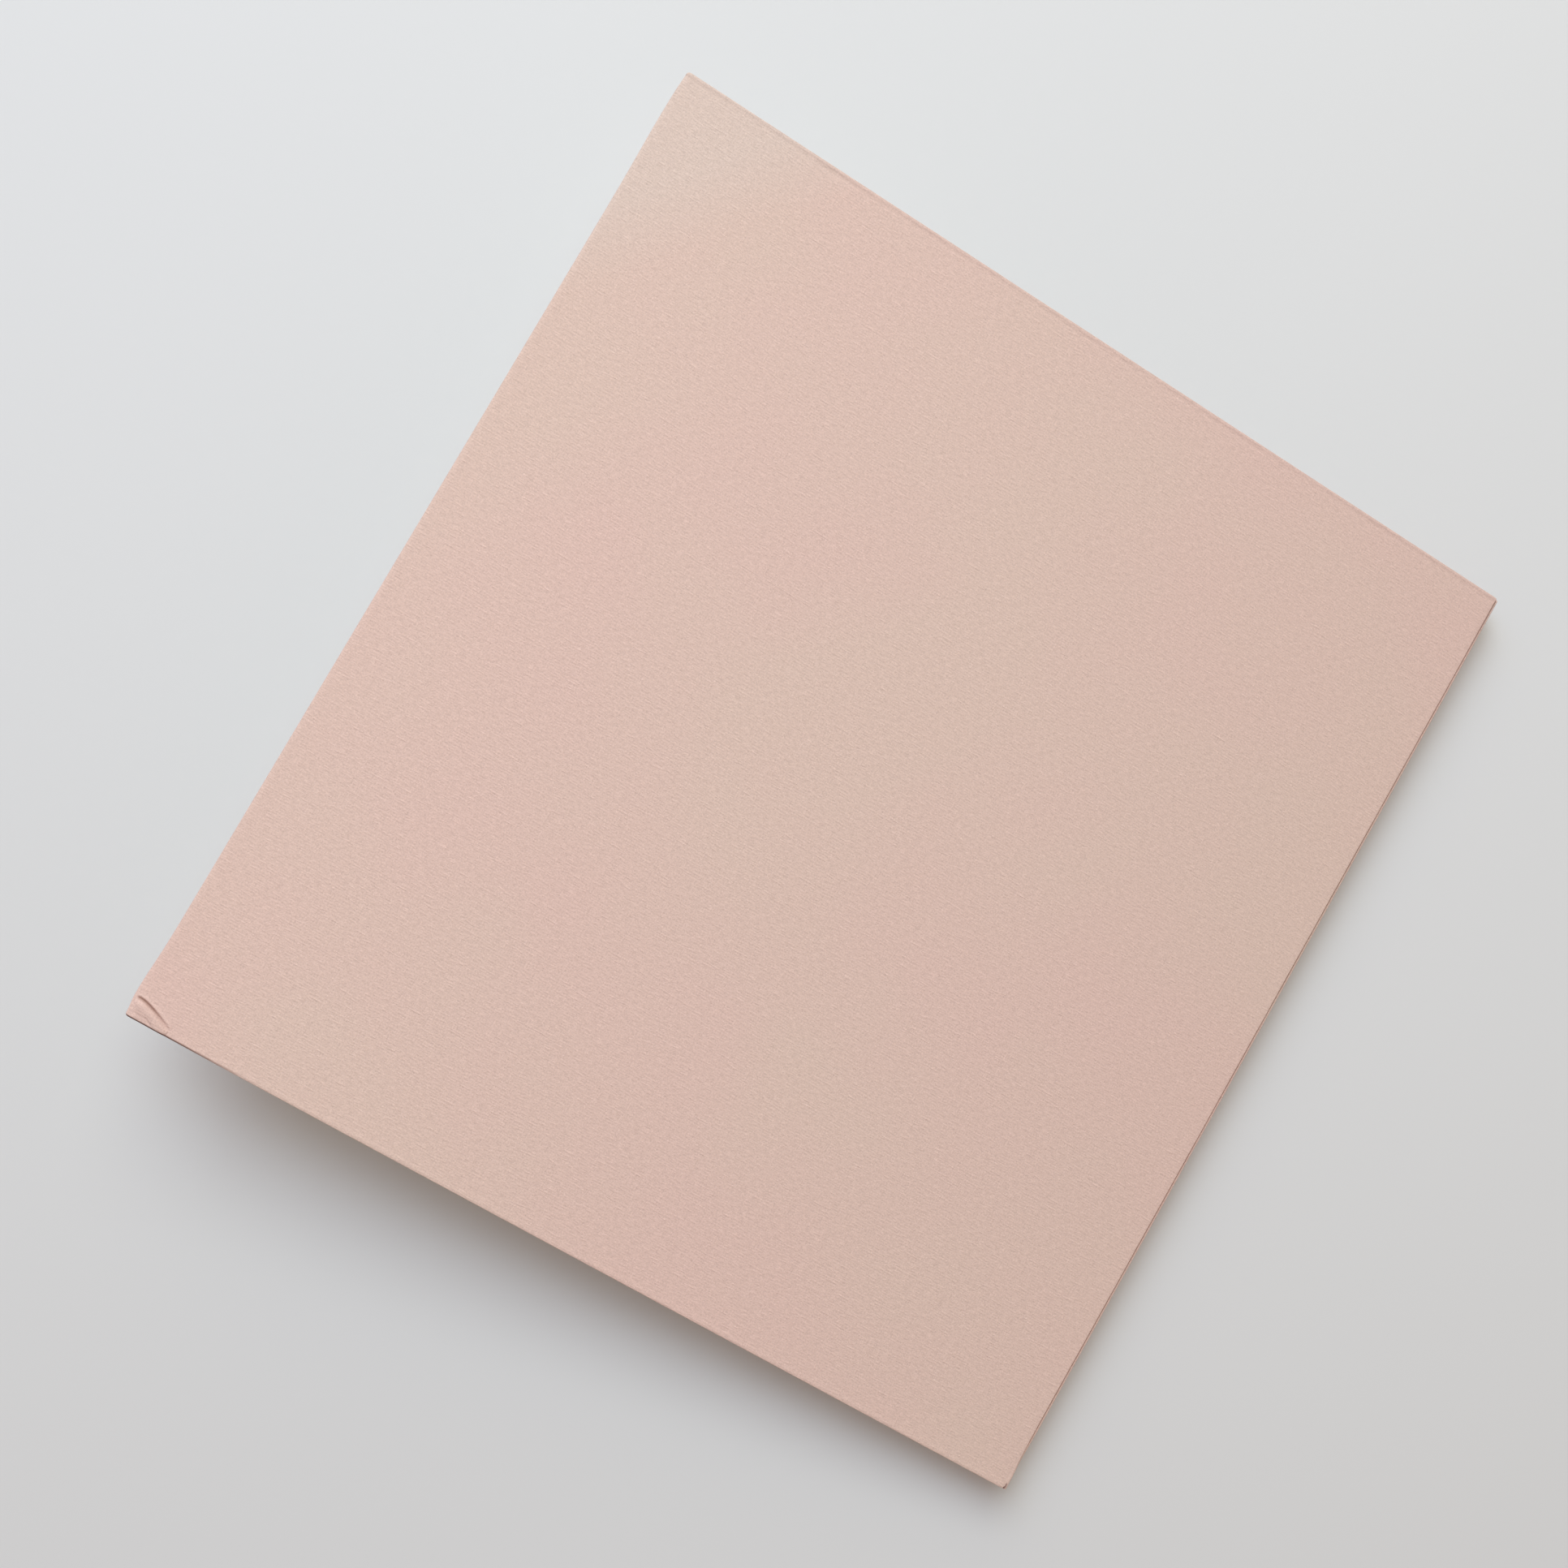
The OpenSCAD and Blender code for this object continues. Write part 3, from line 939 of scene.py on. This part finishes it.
def leaf_wave(u, y):
    """All leaves share one slight wave, so that they keep their distance."""
    return 0.05 * MM * (u / FORE_U) ** 2 * wave(u, y, 80 * MM, 4.4)


def sheet_object(name, points, faces, thickness, material, node):
    """A thin sheet from its middle surface, riding with the node that it stands for."""
    obj = new_mesh(name, points, faces)
    thicken(obj, thickness, 0)
    sharp_by_angle(obj, SHEET_CREASE)
    dress(obj, material)
    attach(obj, BODY_OF[node])
    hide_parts(node)


def leaf_sheet(name, path, seed, material, node):
    """Paper whose cross-section follows a path of (u, h), cut a hair unevenly at its edges."""
    points = []
    for u, h in path:
        at_edge = u > FORE_U - MM
        for j in range(LEAF_COLUMNS):
            t = 2 * j / (LEAF_COLUMNS - 1) - 1
            y = t * (PAGE_HY - CUT_UNEVEN * (1 + wave(seed * MM, u, 60 * MM, t)))
            cut = CUT_UNEVEN * (1 + wave(y, seed * MM, 25 * MM, h / MM)) if at_edge else 0.0
            points.append((u - cut, y, h + leaf_wave(u, y)))
    place = on_leaves(BODY_OF[node])
    sheet_object(name, placed(points, place), grid_faces(len(path), LEAF_COLUMNS),
                 SHEET_SHARE * PAPER_T, material, node)


def folded_sheet(section, k):
    """One folded sheet: the leaf below, the round fold, the leaf above."""
    node = f"section_{section}_sheet_{k}"
    low, high = (Vector(c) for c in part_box(f"section_4_sheet_{k}"))
    radius = (high.z - low.z - PAPER_T) / 2
    fold_u = low.x - LEAF_AXIS.x + PAPER_T / 2 + radius
    middle = section_middle(section)
    us = np.linspace(FORE_U, fold_u, LEAF_ROWS)
    path = [(u, middle - radius) for u in us]
    for i in range(1, FOLD_STEPS):
        a = math.pi * (1.5 - i / FOLD_STEPS)
        path.append((fold_u + radius * math.cos(a), middle + radius * math.sin(a)))
    path += [(u, middle + radius) for u in us[::-1]]
    leaf_sheet(f"{node}_paper", path, section * 7.3 + k * 3.1, PAGE, node)


def section_middle(section):
    """Height of a section's middle above the leaves' turning line: 4 mirrors 1, and 3 mirrors 2."""
    rear = section if section > 2 else 5 - section
    low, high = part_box(f"section_{rear}_sheet_4")
    height = LEAF_AXIS.z - (low[2] + high[2]) / 2
    return -height if section > 2 else height


def flyleaf(name, side):
    """The free half of an endpaper."""
    path = [(u, side * FLYLEAF_H) for u in np.linspace(FORE_U, FOLD_REACH, FLYLEAF_ROWS)]
    leaf_sheet(f"{name}_paper", path, 40.7 + side, ENDPAPER, name)


def pastedown(name, place):
    """The pasted half of an endpaper: it lies over the turn-ins and sinks to the board between them."""
    ramp = 1.7 * MM
    x_near, y_near = WINDOW_X1 - 2 * MM, WINDOW_HY - 2 * MM
    xs = spaced(PANEL_X0, x_near, 3 * MM) + spaced(x_near, WINDOW_X1 + MM, 0.3 * MM)
    xs += spaced(WINDOW_X1 + MM, PASTE_X1, 2 * MM) + [PASTE_X1]
    half = spaced(0, y_near, 4 * MM) + spaced(y_near, WINDOW_HY + MM, 0.3 * MM)
    half += spaced(WINDOW_HY + MM, PASTE_HY, 2 * MM) + [PASTE_HY]
    ys = [-y for y in half[:0:-1]] + half
    points = []
    for x in xs:
        for y in ys:
            inside = min(WINDOW_X1 - x, WINDOW_HY - abs(y))
            sunk = float(smooth(inside / ramp)) * CLOTH_T
            uneven = 0.015 * MM * wave(x, y, 12 * MM, 8.8)
            points.append((x, y, sunk + uneven - COVER_HZ - PAPER_T / 2))
    sheet_object(f"{name}_paper", placed(points, place), grid_faces(len(xs), len(ys)),
                 SHEET_SHARE * PAPER_T, ENDPAPER, name)


def lining(name, side):
    """Woven lining glued over the folds of half the block."""
    low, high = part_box("rear_spine_lining")
    u = (low[0] + high[0]) / 2 - LEAF_AXIS.x
    near, far = LEAF_AXIS.z - high[2], LEAF_AXIS.z - low[2]
    points = []
    for i in range(LINING_ROWS):
        h = near + (far - near) * i / (LINING_ROWS - 1)
        for j in range(LINING_COLUMNS):
            y = low[1] + (high[1] - low[1]) * j / (LINING_COLUMNS - 1)
            fray = 0.05 * MM * wave(y, 0, 2 * MM, 1.7) if i == LINING_ROWS - 1 else 0.0
            points.append((u, y, side * (h - abs(fray))))
    place = on_leaves(BODY_OF[name])
    sheet_object(f"{name}_cloth", placed(points, place), grid_faces(LINING_ROWS, LINING_COLUMNS),
                 0.9 * (high[0] - low[0]), MULL, name)


def band(name, side, way):
    """Half of a woven band: a ribbed bead over the folds' ends, and the tape it is worked on."""
    low, high = (Vector(c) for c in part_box("rear_headband"))
    radius = (high.x - low.x) / 2
    u, y = low.x + radius - LEAF_AXIS.x, high.y - radius
    near, far = LEAF_AXIS.z - high.z, LEAF_AXIS.z - low.z
    points = []
    for i in range(BAND_ROWS):
        h = near + (far - near) * i / (BAND_ROWS - 1)
        rib = abs(math.cos(math.pi * (h - near) / BAND_RIB))
        r = radius * (0.90 + 0.09 * rib)
        for j in range(BAND_AROUND):
            a = 2 * math.pi * j / BAND_AROUND
            points.append((u + r * math.cos(a), way * (y + r * math.sin(a)), side * h))
    rounds = [range(i * BAND_AROUND, (i + 1) * BAND_AROUND) for i in range(BAND_ROWS)]
    faces = [(a[j], a[(j + 1) % BAND_AROUND], b[(j + 1) % BAND_AROUND], b[j])
             for a, b in zip(rounds, rounds[1:]) for j in range(BAND_AROUND)]
    faces += [tuple(rounds[0]), tuple(rounds[-1])]
    tape_u = low.x - LEAF_AXIS.x + 0.04 * MM
    tape = [(tape_u, way * (low.y + (y - low.y) * i / TAPE_ACROSS),
             side * (near + (far - near) * j / TAPE_ALONG))
            for i in range(TAPE_ACROSS + 1) for j in range(TAPE_ALONG + 1)]
    place = on_leaves(BODY_OF[name])
    strip = new_mesh("tape", placed(tape, place), grid_faces(TAPE_ACROSS + 1, TAPE_ALONG + 1))
    thicken(strip, TAPE_T, 0)
    obj = new_mesh(f"{name}_weave", placed(points, place), faces)
    bm = bmesh.new()
    bm.from_mesh(obj.data)
    bm.from_mesh(strip.data)
    bm.to_mesh(obj.data)
    bm.free()
    bpy.data.objects.remove(strip)
    sharp_by_angle(obj, BAND_CREASE)
    dress(obj, BAND)
    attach(obj, BODY_OF[name])
    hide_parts(name)


for section in (1, 2, 3, 4):
    for k in (1, 2, 3, 4):
        folded_sheet(section, k)
for end, side, place in (("front", 1, ON_FRONT), ("rear", -1, ON_BACK)):
    flyleaf(f"{end}_flyleaf", side)
    pastedown(f"{end}_pastedown", place)
    lining(f"{end}_spine_lining", side)
    band(f"{end}_headband", side, 1)
    band(f"{end}_tailband", side, -1)

for name, node in frame["nodes"].items():
    if "board" in name or name == "spine_card":
        dress(node, BOARD)
    elif "thread" in name:
        dress(node, LINEN_THREAD)

# ---- camera, light and table ---------------------------------------------------------------------

PICTURE_W = 1932
FOCAL_LENGTH = 2594.8       # in pixels of a picture that wide
SENSOR_W = 36
EYE = Vector((0.0347, 0.0389, 0.5156))
LOOK = Vector((-0.0429, -0.0683, -0.9967))
CAMERA_UP = Vector((0.5021, -0.8640, 0.0376))
HALF_TABLE = 3.0

# One broad window as three overlapping lights, bluer towards the sky at the left: each has its turn from
# the top of the picture towards the left and its height, in degrees, then its power and colour
WINDOW = {
    "window_middle": (0, 60, 11.9, (0.88, 1.0, 0.96)),
    "window_left": (25, 55, 8.6, (0.47, 0.63, 1.0)),
    "window_low": (5, 38, 3.8, (1.0, 0.88, 0.58)),
}
WINDOW_DISTANCE = 1.5
WINDOW_SIZE = 1.1
ROOM_COLOUR = (1.0, 0.819, 0.694, 1)
ROOM_STRENGTH = 0.432

camera_data = bpy.data.cameras.new("camera")
camera_data.sensor_width = SENSOR_W
camera_data.lens = FOCAL_LENGTH / PICTURE_W * SENSOR_W
camera_data.clip_start = 0.01
camera = bpy.data.objects.new("camera", camera_data)
bpy.context.scene.collection.objects.link(camera)
bpy.context.scene.camera = camera
back_of_view = -LOOK.normalized()
right = CAMERA_UP.cross(back_of_view).normalized()
true_up = back_of_view.cross(right)
turned = Matrix((right, true_up, back_of_view)).transposed().to_4x4()
camera.matrix_world = Matrix.Translation(EYE) @ turned

table_mesh = bpy.data.meshes.new("table")
table_corners = [(x * HALF_TABLE, y * HALF_TABLE, 0) for x, y in ((-1, -1), (1, -1), (1, 1), (-1, 1))]
table_mesh.from_pydata(table_corners, [], [(0, 1, 2, 3)])
table = bpy.data.objects.new("table", table_mesh)
bpy.context.scene.collection.objects.link(table)
table_mesh.materials.append(table_top())


def window_light(name, toward, watts, colour):
    """A square light that faces the book along a direction."""
    data = bpy.data.lights.new(name, "AREA")
    data.shape = "SQUARE"
    data.size = WINDOW_SIZE
    data.energy = watts
    data.color = colour
    light = bpy.data.objects.new(name, data)
    bpy.context.scene.collection.objects.link(light)
    light.location = toward.normalized() * WINDOW_DISTANCE
    light.rotation_euler = toward.to_track_quat("Z", "Y").to_euler()


def toward_light(turn, elevation):
    """A direction by its turn from the top of the picture towards the left, and its height, in degrees."""
    top = Vector((CAMERA_UP.x, CAMERA_UP.y, 0)).normalized()
    level = Matrix.Rotation(math.radians(turn), 3, "Z") @ top
    e = math.radians(elevation)
    return level * math.cos(e) + UP * math.sin(e)


for name, (turn, elevation, watts, colour) in WINDOW.items():
    window_light(name, toward_light(turn, elevation), watts, colour)

world = bpy.data.worlds.new("warm_room")
bpy.context.scene.world = world
world.use_nodes = True
background = world.node_tree.nodes["Background"]
background.inputs["Color"].default_value = ROOM_COLOUR
background.inputs["Strength"].default_value = ROOM_STRENGTH

view_settings = bpy.context.scene.view_settings
view_settings.view_transform = "Standard"
view_settings.look = "None"
view_settings.exposure = 0.0
